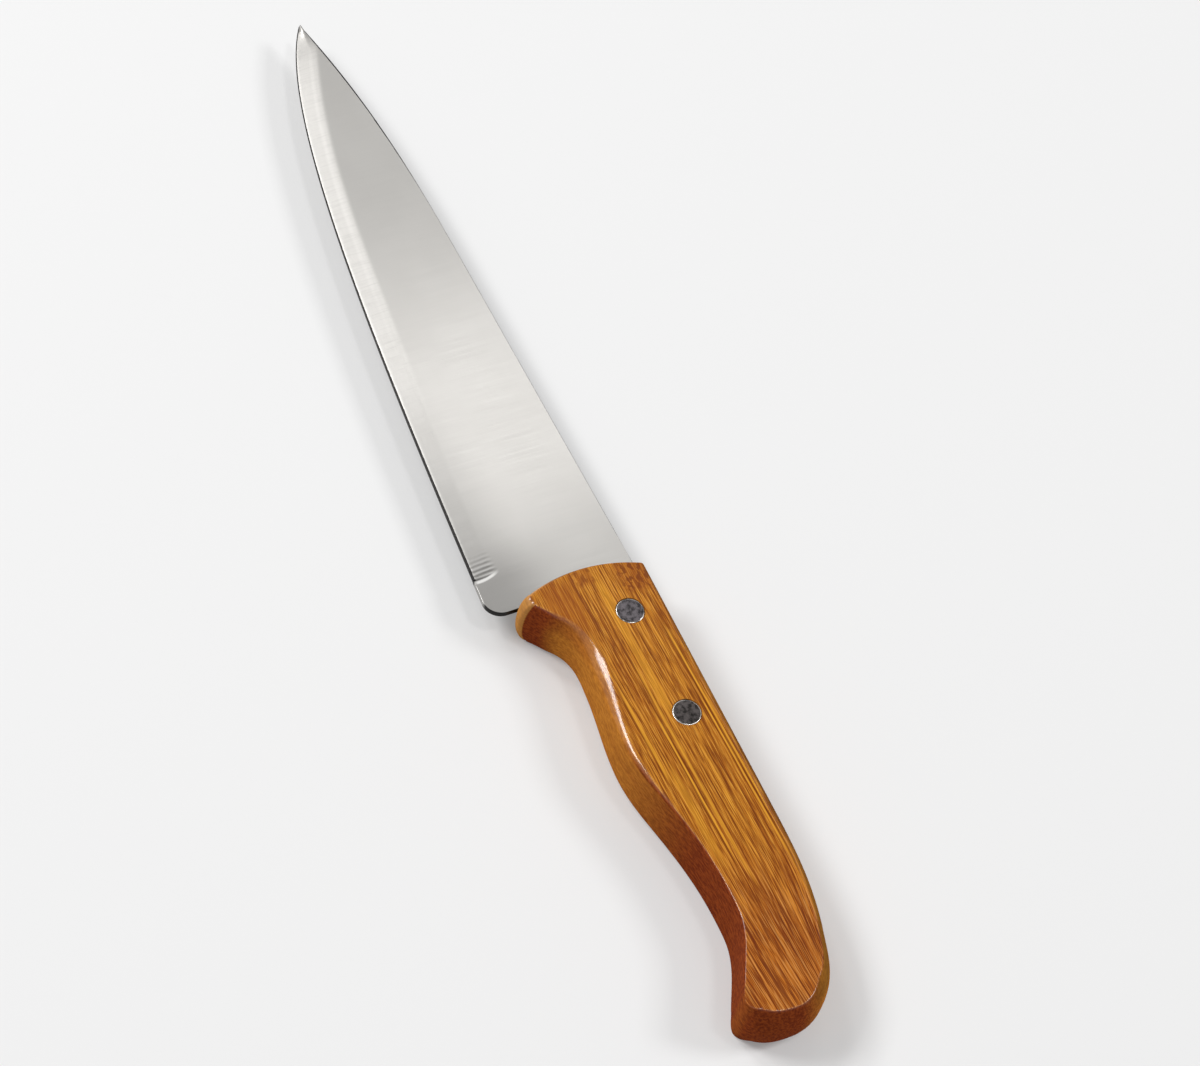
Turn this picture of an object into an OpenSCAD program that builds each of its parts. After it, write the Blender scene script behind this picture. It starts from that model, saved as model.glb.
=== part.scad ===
// Kitchen knife with a riveted one-piece wooden handle, lying on its right side.
// X runs from the tip (-) to the butt (+), Y from the cutting edge (-) to the spine (+),
// and Z up through the thickness. The origin is the middle of the floor under the knife.

/* [Blade] */
// Length from the front of the handle to the tip
blade_length = 190; // [150:1:240]
// Height from the spine to the heel
blade_height = 39.4; // [37:0.2:50]
// Thickness of the steel
blade_thickness = 1.6; // [1.2:0.1:2.4]
// How far the tip lies below the spine line
tip_drop = 7.6; // [4:0.2:12]
// Height of the blunt end of the tip
tip_height = 0.5; // [0.3:0.1:1]
// Width of the ground bevel along the cutting edge
grind_width = 6; // [4:0.5:12]
// Thickness left at the cutting edge
edge_thickness = 0.2; // [0.1:0.05:0.4]
// Width of the broken corners along the spine, heel and tang
edge_break = 0.15; // [0.1:0.05:0.3]
// Radius of the heel's round corner
heel_radius = 4.5; // [3:0.1:4.5]
// Length of the heel that is left unground
heel_land = 6.2; // [2:0.1:8]
// Height by which the heel's underside rises to where the grinding ends
heel_step = 0.5; // [0.2:0.1:0.8]
// Length over which the grinding ends
heel_run = 1; // [0.5:0.1:2]

/* [Tang] */
// Length of the tang inside the handle
tang_length = 62; // [56:1:80]
// Height of the tang
tang_height = 17.8; // [14:0.2:20]
// Radius of the corner where the tang meets the blade
tang_root_radius = 1.5; // [1:0.1:3]
// Radius of the corners at the end of the tang
tang_end_radius = 3; // [1:0.5:6]

/* [Handle] */
// Length from the foremost point of the front to the butt
handle_length = 124; // [110:0.5:150]
// Height from the spine line to the lowest point of the guard
handle_height = 33.7; // [32:0.1:37]
// Thickness between the two flat sides
handle_thickness = 16; // [14:0.5:24]
// Radius of the bulging front end
front_radius = 38; // [30:1:60]
// Height by which the spine stands above the top of the handle
spine_step = 0.6; // [0.3:0.1:1.5]
// Radius of the corner between the front end and the top
front_corner_radius = 0.8; // [0.8:0.2:2]

/* [Rivets] */
// Distance of the front rivet from the front of the handle
front_rivet_setback = 15.5; // [12:0.5:20]
// Distance between the two rivets
rivet_spacing = 30; // [24:0.5:34]
// Diameter of the rivet heads
head_diameter = 7; // [6:0.5:9]
// Thickness of the rivet heads
head_thickness = 1.4; // [1:0.1:2.5]
// Depth of the heads below the handle's flat sides
head_recess = 0.1; // [0.05:0.05:0.3]
// Outer diameter of the rivet barrels
barrel_diameter = 4.6; // [4:0.1:5]
// Diameter of the posts pressed into the barrels
post_diameter = 3; // [2.4:0.1:3.2]
// Width of the broken corner round the heads
head_break = 0.25; // [0.1:0.05:0.5]
// Gap between the end of a barrel and the head of its post
barrel_gap = 0.6; // [0.3:0.1:1.5]

/* [Fits] */
// Clearance round the tang in its slot
slot_clearance = 0.05; // [0.03:0.01:0.15]
// Gap between the blade's shoulder and the front of the handle
shoulder_gap = 0.1; // [0.05:0.05:0.3]
// Radial clearance round the barrels and the heads
bore_clearance = 0.1; // [0.05:0.05:0.2]
// Radial clearance between a post and its barrel
press_clearance = 0.03; // [0.02:0.01:0.06]

/* [Hidden] */
$fn = 48;

// How far a cut runs past the face that it opens
overrun = 1;

// Samples in each stretch of a curve and along the cutting edge, and levels in each
// rounded edge of the handle
curve_steps = 8;
edge_steps = 36;
round_steps = 5;

// Pull of a knot's heading on the curve, as a share of the distance to the next knot
pull_share = 0.36;

// Knots of the handle's widest outline, from the rear of its straight top round the butt to
// the crease behind the guard: place along the length, depth below the spine, heading in
// degrees, and how the rounded edge leads to the flat side: shifts along X and Y and its
// depth, as shares of the thickness
grip_shares = [
    [0.580, 0.057, -1.1, 0, -0.15, 0.15],
    [0.850, 0.165, -16, -0.04, -0.14, 0.20],
    [0.968, 0.347, -45, -0.175, -0.11, 0.42],
    [1.000, 0.610, -90, -0.14, 0, 0.50],
    [0.981, 0.880, -128, -0.14, 0.04, 0.50],
    [0.941, 0.945, -186, -0.02, 0.01, 0.35],
    [0.902, 0.884, -208, -0.02, 0.035, 0.08],
    [0.762, 0.676, -183, 0, 0.03, 0.06],
    [0.570, 0.720, -170, -0.005, 0.03, 0.06],
    [0.400, 0.819, -180, 0, 0.08, 0.12],
    [0.205, 0.745, -183, 0, 0.20, 0.22],
    [0.100, 0.837, -139, -0.10, 0.12, 0.45],
    [0.058, 0.950, -138, -0.06, 0.10, 0.50]
];
// Knots of the guard's rounded nose, from the crease to the foot of the front end
nose_shares = [
    [0.058, 0.950, -165, -0.06, 0.10, 0.50],
    [0.038, 1.000, -182, 0.03, 0.21, 0.50],
    [0.0165, 0.947, -250, 0.10, 0.09, 0.45]
];
// Depth of the front end's foremost point and of its foot below the spine, as shares of
// the height, and the rounded edges at the foot and at the top, as in the knots
front_crest_share = 0.535;
front_foot_share = 0.885;
front_foot_edge_shares = [0.08, 0.02, 0.24];
front_top_edge_shares = [0.03, 0, 0.04];
corner_edge_shares = [0, -0.07, 0.07];

// Where the spine starts to fall, as a share of the blade's length, and how sharply it falls
spine_straight_share = 0.526;
spine_fall_power = 2.7;
// Pulls on the cutting edge's curve, as shares of the blade's length and height
edge_heel_pull_shares = [0.505, 0.805];
edge_tip_pull_shares = [0.872, 0.600];
// Most of the blade's height that the grind takes, near the tip
grind_height_share = 0.8;

// Whole knife
knife_length = blade_length + handle_length;
front_x = blade_length - knife_length / 2;
spine_y = blade_height / 2;
mid_z = handle_thickness / 2;

function heading(angle) = [cos(angle), sin(angle)];
function mix(a, b, t) = a * (1 - t) + b * t;
function bezier(a, b, c, d, t) = mix(mix(mix(a, b, t), mix(b, c, t), t),
                                     mix(mix(b, c, t), mix(c, d, t), t), t);
function arc(centre, radius, from, to) = [
    for (s = [0 : curve_steps]) centre + radius * heading(mix(from, to, s / curve_steps))
];

// Front end of the handle, an arc that bulges toward the blade
crest_y = -front_crest_share * handle_height;
foot_y = -front_foot_share * handle_height;
function handle_front(y) =
    front_radius - sqrt(front_radius * front_radius - (y - crest_y) * (y - crest_y));
function front_heading(y) = 90 + asin((crest_y - y) / front_radius);

// Straight top of the handle
top_rear = [grip_shares[0].x * handle_length, -grip_shares[0].y * handle_height];
function handle_top(x) = mix(-spine_step, top_rear.y, x / top_rear.x);
head_y = -spine_step - front_corner_radius;
top_front_x = handle_front(head_y) + front_corner_radius;

// Tang and rivets
tang_middle = handle_top(front_rivet_setback + rivet_spacing / 2) - tang_height / 2;
tang_floor = tang_middle - tang_height / 2;
front_rivet_x = front_rivet_setback;
rear_rivet_x = front_rivet_setback + rivet_spacing;
head_depth = head_recess + head_thickness;
barrel_length = handle_thickness - 2 * head_depth - barrel_gap;
bore_radius = barrel_diameter / 2 + bore_clearance;
seat_radius = head_diameter / 2 + bore_clearance;

// A knot in millimetres, and the points along a chain of knots
function knot(k) = concat([k.x * handle_length, -k.y * handle_height, k[2]],
                          [k[3], k[4], k[5]] * handle_thickness);
function placed_knot(x, y, angle, edge_shares) =
    concat([x, y, angle], edge_shares * handle_thickness);
function place(k) = [k.x, k.y];
function edge(k) = [k[3], k[4], k[5]];
function chain(knots) = [
    for (i = [0 : len(knots) - 2])
        let (a = place(knots[i]), b = place(knots[i + 1]))
        let (pull = pull_share * norm(b - a))
        let (c = a + pull * heading(knots[i][2]), d = b - pull * heading(knots[i + 1][2]))
        for (s = [0 : curve_steps - 1])
            let (t = s / curve_steps)
            concat(bezier(a, c, d, b, t), mix(edge(knots[i]), edge(knots[i + 1]), t))
];

// Outline of the handle, clockwise seen from above
foot_knot = placed_knot(handle_front(foot_y), foot_y, front_heading(foot_y),
                        front_foot_edge_shares);
head_knot = placed_knot(handle_front(head_y), head_y, front_heading(head_y),
                        front_top_edge_shares);
top_knot = placed_knot(top_front_x, handle_top(top_front_x), grip_shares[0][2],
                       corner_edge_shares);
front_points = [
    for (s = [0 : curve_steps - 1])
        let (t = s / curve_steps, y = mix(foot_y, head_y, t))
        concat([handle_front(y), y], mix(edge(foot_knot), edge(head_knot), t))
];
handle_outline = concat(
    chain(concat([head_knot, top_knot], [for (k = grip_shares) knot(k)])),
    chain(concat([for (k = nose_shares) knot(k)], [foot_knot])),
    front_points
);

// One level of the handle's skin: at 0 degrees the widest outline, at 90 the flat side
function handle_ring(angle, upper) = [
    for (p = handle_outline)
        let (z = mid_z - p[4] * (1 - sin(angle)))
        [p.x + p[2] * (1 - cos(angle)), p.y + p[3] * (1 - cos(angle)), upper ? z : -z]
];

// Triangles that fill a clockwise ring of points: corners that stick out and hold no other
// point are cut off one after another, starting each search a step past the last cut
function turn(a, b, c) = (b.x - a.x) * (c.y - b.y) - (b.y - a.y) * (c.x - b.x);
function corner(ring, i) =
    let (n = len(ring))
    [ring[(i + n - 1) % n], ring[i], ring[(i + 1) % n]];
function holds(points, t, i) =
    i != t[0] && i != t[1] && i != t[2] && turn(points[t[0]], points[t[1]], points[i]) <= 0
    && turn(points[t[1]], points[t[2]], points[i]) <= 0
    && turn(points[t[2]], points[t[0]], points[i]) <= 0;
function can_cut(points, ring, t) =
    turn(points[t[0]], points[t[1]], points[t[2]]) < 0
    && len([for (i = ring) if (holds(points, t, i)) i]) == 0;
function next_cut(points, ring, i, tries) =
    tries == 0 || can_cut(points, ring, corner(ring, i)) ? i
        : next_cut(points, ring, (i + 1) % len(ring), tries - 1);
function fill(points, ring, start) =
    len(ring) == 3 ? [ring] :
    let (n = len(ring), cut = next_cut(points, ring, start % n, n))
    concat([corner(ring, cut)],
           fill(points, [for (i = [0 : n - 1]) if (i != cut) ring[i]], cut + 1));

// Solid between equal rings of points, listed from the top ring to the bottom one
module skin(rings) {
    n = len(rings[0]);
    last = (len(rings) - 1) * n;
    cap = fill(rings[0], [for (i = [0 : n - 1]) i], 0);
    polyhedron(
        points = [for (ring = rings) each ring],
        faces = concat(
            cap,
            [for (r = [0 : n : last - n], i = [0 : n - 1])
                let (j = (i + 1) % n)
                each [[r + i, r + n + i, r + n + j], [r + i, r + n + j, r + j]]],
            [for (t = cap) [last + t[2], last + t[1], last + t[0]]]
        )
    );
}

// Blade outline, clockwise from the tip, in stretches that are left unground
back_x = handle_front(foot_y) - shoulder_gap;
root_x = handle_front(tang_floor - tang_root_radius) - shoulder_gap;
function spine_at(x) =
    -tip_drop * pow(max(0, -x / blade_length - spine_straight_share)
                    / (1 - spine_straight_share), spine_fall_power);
spine_points = [
    for (s = [0 : curve_steps * 2])
        let (x = mix(-blade_length, -blade_length * spine_straight_share,
                     s / (curve_steps * 2)))
        [x, spine_at(x) + (s == 0 ? tip_height / 2 : 0)]
];
tang_points = concat(
    [[top_front_x, 0], [top_front_x + spine_step, handle_top(top_front_x + spine_step)],
     [tang_length, handle_top(tang_length)]],
    arc([tang_length, tang_floor] + tang_end_radius * [-1, 1], tang_end_radius, 0, -90),
    arc([root_x, tang_floor] + tang_root_radius * [1, -1], tang_root_radius, 90, 180)
);
shoulder_points = [
    for (s = [1 : curve_steps])
        let (y = mix(tang_floor - tang_root_radius, foot_y, s / curve_steps))
        [handle_front(y) - shoulder_gap, y]
];
heel_points = arc([back_x, -blade_height] + heel_radius * [-1, 1], heel_radius, 0, -90);
land_x = back_x - heel_radius - heel_land;

// Cutting edge, from the end of the grind to the tip
edge_heel = [land_x - heel_run, heel_step - blade_height];
edge_heel_pull = [-blade_length * edge_heel_pull_shares.x,
                  -blade_height * edge_heel_pull_shares.y];
edge_tip_pull = [-blade_length * edge_tip_pull_shares.x,
                 -blade_height * edge_tip_pull_shares.y];
edge_tip = [-blade_length, -tip_drop - tip_height / 2];
edge_points = [
    for (s = [0 : edge_steps])
        bezier(edge_heel, edge_heel_pull, edge_tip_pull, edge_tip, s / edge_steps)
];
function grind_at(p) =
    min(grind_width, max(edge_break, grind_height_share * (spine_at(p.x) - p.y)));

// Outline of the whole blade, and the thickness of the steel at each of its points, once the
// corners are broken and the edge is ground
plain_points = concat(spine_points, tang_points, shoulder_points, heel_points,
                      [[land_x, heel_step - blade_height], edge_heel + [heel_run / 2, 0]]);
blade_outline = concat(plain_points, edge_points);
outline_thickness = concat(
    [for (p = plain_points) blade_thickness - 2 * edge_break],
    [for (p = edge_points) edge_thickness]
);

// Outline of the blade's flat side, inside the broken corners and above the grind
function inward(a, b) = [b.y - a.y, a.x - b.x] / norm(b - a);
function inset_point(points, i) =
    let (n = len(points), p = points[i])
    let (u = inward(points[(i + n - 1) % n], p), v = inward(p, points[(i + 1) % n]))
    p + edge_break * (u + v) / (1 + u * v);
blade_flat = concat(
    [for (i = [0 : len(plain_points) - 1]) inset_point(blade_outline, i)],
    [for (p = edge_points) [max(p.x, edge_break - blade_length), p.y + grind_at(p)]]
);
function lifted(points, heights) = [
    for (i = [0 : len(points) - 1]) [points[i].x, points[i].y, heights[i]]
];

module blade() {
    flat_heights = [for (p = blade_flat) blade_thickness / 2];
    edge_heights = outline_thickness / 2;
    color([0.78, 0.78, 0.77])
    translate([front_x, spine_y, mid_z])
    difference() {
        skin([
            lifted(blade_flat, flat_heights),
            lifted(blade_outline, edge_heights),
            lifted(blade_outline, -edge_heights),
            lifted(blade_flat, -flat_heights)
        ]);
        tang_bore(front_rivet_x);
        tang_bore(rear_rivet_x);
    }
}

// Hole for a rivet's barrel through the tang
module tang_bore(x) {
    translate([x, tang_middle, 0])
        cylinder(r = bore_radius, h = blade_thickness + 2 * overrun, center = true);
}

module handle() {
    color([0.76, 0.5, 0.22])
    translate([front_x, spine_y, mid_z])
    difference() {
        difference() {
            skin(concat(
                [for (s = [round_steps : -1 : 0]) handle_ring(90 * s / round_steps, true)],
                [for (s = [0 : round_steps]) handle_ring(90 * s / round_steps, false)]
            ));
            tang_slot();
        }
        stepped_bore(front_rivet_x);
        stepped_bore(rear_rivet_x);
    }
}

// Slot for the tang, open at the front and along the top, with a deeper mouth that clears
// the round where the tang meets the blade
module tang_slot() {
    slot_thickness = blade_thickness + 2 * slot_clearance;
    slot_rear = tang_length + slot_clearance;
    slot_floor = tang_floor - slot_clearance;
    mouth_rear = root_x + tang_root_radius + slot_clearance;
    mouth_floor = slot_floor - tang_root_radius;
    translate([0, 0, -slot_thickness / 2])
        linear_extrude(slot_thickness)
            polygon([[-overrun, overrun], [-overrun, mouth_floor], [mouth_rear, mouth_floor],
                     [mouth_rear, slot_floor], [slot_rear, slot_floor], [slot_rear, overrun]]);
}

// Bore for a rivet's barrel right through the handle, with a seat for a head at each side
module stepped_bore(x) {
    seat_floor = mid_z - head_depth;
    seat_top = mid_z + overrun;
    translate([x, tang_middle, 0])
        rotate_extrude()
            polygon([[0, -seat_top], [seat_radius, -seat_top], [seat_radius, -seat_floor],
                     [bore_radius, -seat_floor], [bore_radius, seat_floor],
                     [seat_radius, seat_floor], [seat_radius, seat_top], [0, seat_top]]);
}

// Head of a rivet at the left side, with its rim broken all round
module rivet_head() {
    radius = head_diameter / 2;
    translate([0, 0, mid_z - head_depth])
        rotate_extrude()
            polygon([[0, 0], [radius, 0], [radius, head_thickness - head_break],
                     [radius - head_break, head_thickness], [0, head_thickness]]);
}

// Solid half of a rivet: a head on the left side and a post into the barrel
module rivet_post(x) {
    post_length = barrel_length;
    color([0.42, 0.4, 0.44])
    translate([front_x + x, spine_y + tang_middle, mid_z]) {
        rivet_head();
        translate([0, 0, mid_z - head_depth - post_length])
            cylinder(d = post_diameter, h = post_length);
    }
}

// Hollow half of a rivet: a head on the right side and a barrel toward the post's head
module rivet_barrel(x) {
    color([0.42, 0.4, 0.44])
    translate([front_x + x, spine_y + tang_middle, mid_z])
    mirror([0, 0, 1])
    difference() {
        union() {
            rivet_head();
            translate([0, 0, mid_z - head_depth - barrel_length])
                cylinder(d = barrel_diameter, h = barrel_length);
        }
        translate([0, 0, mid_z - head_depth - barrel_length - overrun])
            cylinder(r = post_diameter / 2 + press_clearance, h = barrel_length + overrun);
    }
}

module front_rivet_post() rivet_post(front_rivet_x);
module front_rivet_barrel() rivet_barrel(front_rivet_x);
module rear_rivet_post() rivet_post(rear_rivet_x);
module rear_rivet_barrel() rivet_barrel(rear_rivet_x);

blade();
handle();
front_rivet_post();
front_rivet_barrel();
rear_rivet_post();
rear_rivet_barrel();
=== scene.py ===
"""Looks of a kitchen knife with a riveted bamboo handle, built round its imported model."""

import math

import bmesh
import bpy
import numpy as np
from mathutils import Euler, Matrix, Vector


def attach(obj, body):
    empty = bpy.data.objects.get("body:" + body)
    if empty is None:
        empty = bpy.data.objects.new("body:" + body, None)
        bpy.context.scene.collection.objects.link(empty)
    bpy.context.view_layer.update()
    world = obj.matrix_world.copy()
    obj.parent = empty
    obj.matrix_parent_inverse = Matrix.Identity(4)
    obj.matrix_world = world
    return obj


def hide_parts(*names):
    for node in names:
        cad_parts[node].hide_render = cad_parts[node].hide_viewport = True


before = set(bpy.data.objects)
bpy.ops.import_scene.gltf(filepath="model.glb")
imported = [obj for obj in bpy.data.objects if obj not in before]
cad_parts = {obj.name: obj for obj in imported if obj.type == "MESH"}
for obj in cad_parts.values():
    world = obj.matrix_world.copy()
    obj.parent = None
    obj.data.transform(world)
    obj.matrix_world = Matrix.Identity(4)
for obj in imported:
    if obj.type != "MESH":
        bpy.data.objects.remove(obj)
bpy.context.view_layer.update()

# Sizes in millimetres, the same as in the solid model

BLADE_LENGTH = 190
BLADE_HEIGHT = 39.4
BLADE_THICKNESS = 1.6
TIP_DROP = 7.6
TIP_HEIGHT = 0.5
GRIND_WIDTH = 6
EDGE_THICKNESS = 0.2
EDGE_BREAK = 0.15
HEEL_RADIUS = 4.5
HEEL_LAND = 6.2
HEEL_STEP = 0.5
HEEL_RUN = 1
TANG_LENGTH = 62
TANG_HEIGHT = 17.8
TANG_ROOT_RADIUS = 1.5
TANG_END_RADIUS = 3
HANDLE_LENGTH = 124
HANDLE_HEIGHT = 33.7
HANDLE_THICKNESS = 16
FRONT_RADIUS = 38
SPINE_STEP = 0.6
FRONT_CORNER_RADIUS = 0.8
FRONT_RIVET_SETBACK = 15.5
RIVET_SPACING = 30
HEAD_DIAMETER = 7
HEAD_THICKNESS = 1.4
HEAD_RECESS = 0.1
BARREL_DIAMETER = 4.6
POST_DIAMETER = 3
HEAD_BREAK = 0.25
BARREL_GAP = 0.6
SLOT_CLEARANCE = 0.05
SHOULDER_GAP = 0.1
BORE_CLEARANCE = 0.1
PRESS_CLEARANCE = 0.03

# Knots of the handle's outline: place along the length, depth below the spine, heading,
# shifts and depth of the rounded edge, and how crisply that edge meets the flat side. The
# edge at 0.400 is 0.4 mm shallower than in the solid model, to catch the light as it should.
GRIP_KNOTS = [
    [0.580, 0.057, -1.1, 0, -0.15, 0.15, 0],
    [0.850, 0.165, -16, -0.04, -0.14, 0.20, 0.1],
    [0.968, 0.347, -45, -0.175, -0.11, 0.42, 1],
    [1.000, 0.610, -90, -0.14, 0, 0.50, 1],
    [0.981, 0.880, -128, -0.14, 0.04, 0.50, 1],
    [0.941, 0.945, -186, -0.02, 0.01, 0.35, 1],
    [0.902, 0.884, -208, -0.02, 0.035, 0.08, 0.8],
    [0.762, 0.676, -183, 0, 0.03, 0.06, 0.5],
    [0.570, 0.720, -170, -0.005, 0.03, 0.06, 0.6],
    [0.400, 0.819, -180, 0, 0.08, 0.095, 1],
    [0.205, 0.745, -183, 0, 0.20, 0.22, 1],
    [0.100, 0.837, -139, -0.10, 0.12, 0.45, 0.1],
    [0.058, 0.950, -138, -0.06, 0.10, 0.50, 0.1],
]
NOSE_KNOTS = [
    [0.058, 0.950, -165, -0.06, 0.10, 0.50, 0.1],
    [0.038, 1.000, -182, 0.03, 0.21, 0.50, 0],
    [0.0165, 0.947, -250, 0.10, 0.09, 0.45, 0],
]
FRONT_CREST_SHARE = 0.535
FRONT_FOOT_SHARE = 0.885
FRONT_FOOT_EDGE = [0.08, 0.02, 0.24, 0]
FRONT_TOP_EDGE = [0.03, 0, 0.04, 0]
CORNER_EDGE = [0, -0.07, 0.07, 0]
PULL_SHARE = 0.36
SPINE_STRAIGHT_SHARE = 0.526
SPINE_FALL_POWER = 2.7
EDGE_HEEL_PULL = [-BLADE_LENGTH * 0.505, -BLADE_HEIGHT * 0.805]
EDGE_TIP_PULL = [-BLADE_LENGTH * 0.872, -BLADE_HEIGHT * 0.600]
GRIND_HEIGHT_SHARE = 0.8

# Fineness of the curves
CURVE_STEPS = 16
ROUND_ANGLES = [0, 4, 9, 15, 22, 30, 38, 46, 54, 62, 69, 75, 81, 86, 90]
EDGE_STEPS = 150
RUN_OUT_STEPS = 12
TURNED_STEPS = 96
RIM_STEPS = 8

# Details that only this script has, in millimetres, shares and slopes: the honed edge, and
# the broken corner of the spine with the shares of the blade between which it widens
HONED_HEEL_WIDTH = 0.65
HONED_TIP_WIDTH = 0.3
HONED_SHARE = 0.3
HONED_SLOPE = 0.33
HONED_RISE_SHARE = 0.5
TIP_BREAK = 0.9
TIP_BREAK_SHARE = 0.12
TIP_BREAK_REACH = [0.62, 0.9]

# The handle's bowed wall, as a curve inward and a curve upward, with their slopes at the
# end, and the fillet at its top: its size, the level of the skin where it starts, counted
# from 0 at the widest outline to 90 on the flat side, and the most it takes of the wall
WALL_IN = [0, 0, 0.45, 1]
WALL_UP = [0, 0.5, 0.75, 1]
WALL_END_SLOPES = [1.65, 0.75]
FILLET = 0.3
FILLET_START = 65
FILLET_MOST_SHARE = 0.5
LEAST_SHIFT = 0.01

# How far a cut runs past the face that it opens, how close two points are that become one,
# and the angles in degrees past which an edge stays sharp
OVERRUN = 1
BLADE_OVERRUN = 2
MERGE_DISTANCE = 0.002
HANDLE_SHARP_ANGLE = 32
STEEL_SHARP_ANGLE = 50

MM = 0.001
KNIFE_LENGTH = BLADE_LENGTH + HANDLE_LENGTH
ORIGIN = np.array([BLADE_LENGTH - KNIFE_LENGTH / 2, BLADE_HEIGHT / 2, HANDLE_THICKNESS / 2])
HALF_HANDLE = HANDLE_THICKNESS / 2
HALF_BLADE = BLADE_THICKNESS / 2


# Curves

def heading(angle):
    return np.array([math.cos(math.radians(angle)), math.sin(math.radians(angle))])


def mix(a, b, t):
    return np.asarray(a, float) * (1 - t) + np.asarray(b, float) * t


def bezier(a, b, c, d, t):
    return mix(mix(mix(a, b, t), mix(b, c, t), t), mix(mix(b, c, t), mix(c, d, t), t), t)


def arc(centre, radius, start, end, steps=CURVE_STEPS):
    return [np.array(centre) + radius * heading(mix(start, end, s / steps))
            for s in range(steps + 1)]


def smooth_share(x, low, high):
    t = min(1, max(0, (x - low) / (high - low)))
    return t * t * (3 - 2 * t)


# Shapes that the blade and the handle share

CREST_Y = -FRONT_CREST_SHARE * HANDLE_HEIGHT
FOOT_Y = -FRONT_FOOT_SHARE * HANDLE_HEIGHT
TOP_REAR = [GRIP_KNOTS[0][0] * HANDLE_LENGTH, -GRIP_KNOTS[0][1] * HANDLE_HEIGHT]
HEAD_Y = -SPINE_STEP - FRONT_CORNER_RADIUS


def handle_front(y):
    return FRONT_RADIUS - math.sqrt(FRONT_RADIUS ** 2 - (y - CREST_Y) ** 2)


def front_heading(y):
    return 90 + math.degrees(math.asin((CREST_Y - y) / FRONT_RADIUS))


def handle_top(x):
    return float(mix(-SPINE_STEP, TOP_REAR[1], x / TOP_REAR[0]))


TOP_FRONT_X = handle_front(HEAD_Y) + FRONT_CORNER_RADIUS
TANG_MIDDLE = handle_top(FRONT_RIVET_SETBACK + RIVET_SPACING / 2) - TANG_HEIGHT / 2
TANG_FLOOR = TANG_MIDDLE - TANG_HEIGHT / 2
HEAD_DEPTH = HEAD_RECESS + HEAD_THICKNESS
BARREL_LENGTH = HANDLE_THICKNESS - 2 * HEAD_DEPTH - BARREL_GAP
BORE_RADIUS = BARREL_DIAMETER / 2 + BORE_CLEARANCE
SEAT_RADIUS = HEAD_DIAMETER / 2 + BORE_CLEARANCE
ROOT_X = handle_front(TANG_FLOOR - TANG_ROOT_RADIUS) - SHOULDER_GAP
RIVETS = {"front": FRONT_RIVET_SETBACK, "rear": FRONT_RIVET_SETBACK + RIVET_SPACING}


# Meshes

def new_piece(name, points, faces):
    """A mesh object from points in the knife's own millimetres."""
    mesh = bpy.data.meshes.new(name)
    mesh.from_pydata([tuple((ORIGIN + p) * MM) for p in points], [], faces)
    mesh.validate()
    piece = bpy.data.objects.new(name, mesh)
    bpy.context.scene.collection.objects.link(piece)
    tidy_mesh(piece)
    return piece


def tidy_mesh(piece):
    """Joins points that coincide and turns all faces outward."""
    work = bmesh.new()
    work.from_mesh(piece.data)
    bmesh.ops.remove_doubles(work, verts=work.verts, dist=MERGE_DISTANCE * MM)
    bmesh.ops.recalc_face_normals(work, faces=work.faces)
    work.to_mesh(piece.data)
    work.free()


def loft(name, rings):
    """A closed solid between equal rings of points, with a flat face at each end."""
    count = len(rings[0])
    faces = [list(range(count))]
    for level in range(len(rings) - 1):
        start = level * count
        for i in range(count):
            j = (i + 1) % count
            faces.append([start + i, start + count + i, start + count + j, start + j])
    faces.append(list(range(len(rings) * count - 1, (len(rings) - 1) * count - 1, -1)))
    return new_piece(name, [p for ring in rings for p in ring], faces)


def turned(name, centre, profile):
    """A closed solid of revolution about Z from a profile of (radius, height) points."""
    points = []
    faces = []
    count = len(profile)
    for s in range(TURNED_STEPS):
        across = heading(360 * s / TURNED_STEPS)
        for radius, height in profile:
            points.append(np.array([*(np.array(centre[:2]) + radius * across),
                                    centre[2] + height]))
        after = (s + 1) % TURNED_STEPS
        for i in range(count):
            j = (i + 1) % count
            faces.append([s * count + i, s * count + j, after * count + j, after * count + i])
    return new_piece(name, points, faces)


def applied(piece):
    """Replaces a piece's mesh by what its modifiers make of it."""
    depsgraph = bpy.context.evaluated_depsgraph_get()
    mesh = bpy.data.meshes.new_from_object(piece.evaluated_get(depsgraph))
    piece.modifiers.clear()
    piece.data = mesh


def cut(piece, cutter):
    """Cuts one closed solid out of another."""
    modifier = piece.modifiers.new("cut", "BOOLEAN")
    modifier.operation = "DIFFERENCE"
    modifier.solver = "EXACT"
    modifier.object = cutter
    applied(piece)
    bpy.data.objects.remove(cutter)
    tidy_mesh(piece)


def smooth(piece, sharp_angle):
    """Smooth shading, with flat faces kept flat and edges past the angle kept sharp."""
    work = bmesh.new()
    work.from_mesh(piece.data)
    for face in work.faces:
        face.smooth = True
    for edge in work.edges:
        edge.smooth = edge.calc_face_angle(0) < math.radians(sharp_angle)
    work.to_mesh(piece.data)
    work.free()
    modifier = piece.modifiers.new("flat faces", "WEIGHTED_NORMAL")
    modifier.keep_sharp = True
    applied(piece)


# Handle

def edge_row(place, angle, edge):
    return [*place, angle, *(np.array(edge[:3]) * HANDLE_THICKNESS), edge[3]]


def knot_row(knot):
    return edge_row([knot[0] * HANDLE_LENGTH, -knot[1] * HANDLE_HEIGHT], knot[2], knot[3:])


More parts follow.
